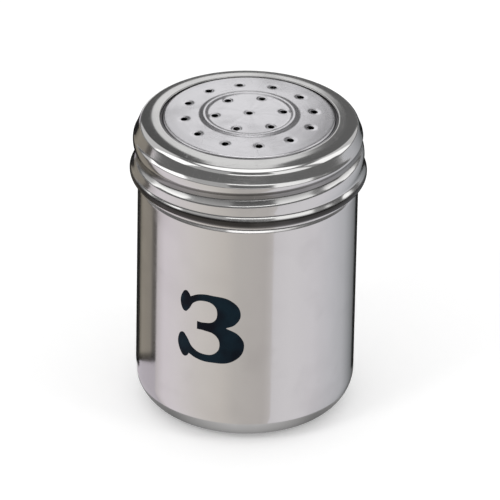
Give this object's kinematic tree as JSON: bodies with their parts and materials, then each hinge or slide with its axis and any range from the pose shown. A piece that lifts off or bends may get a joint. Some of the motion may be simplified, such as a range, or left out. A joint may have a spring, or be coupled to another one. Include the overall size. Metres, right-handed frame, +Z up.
{
  "type": "seasoning can",
  "caption": "Cylindrical steel shaker can with a round bottom corner, a rolled screw ring and a domed perforated plate held in the ring.",
  "frame": {"origin": "middle of the base, on the surface that the can stands on", "axes": "+Z up along the can's axis, front with the printed numeral towards -Y, +X to the right of someone facing the front"},
  "size_m": [0.066, 0.066, 0.089],
  "materials": {
    "can_steel": "polished stainless steel",
    "ring_steel": "polished stainless steel",
    "plate_steel": "satin stainless steel",
    "blue_print": "gloss printed numeral"
  },
  "bodies": {
    "can": {"can_body": "can_steel"},
    "plate": {"shaker_plate": "plate_steel"},
    "ring": {"screw_ring": "ring_steel"}
  },
  "joints": [
    {"name": "lid_rise", "type": "slide", "parent": "can", "child": "plate", "axis": [0, 0, 1], "range_m": [0, 0.02]},
    {"name": "lid_turn", "type": "hinge", "parent": "plate", "child": "ring", "pos_m": [0, 0, 0.08], "axis": [0, 0, 1], "range_deg": [0, 900]}
  ],
  "couplings": [
    {"joint": "lid_rise", "follows": "lid_turn", "m_per_rad": 0.0012732}
  ]
}
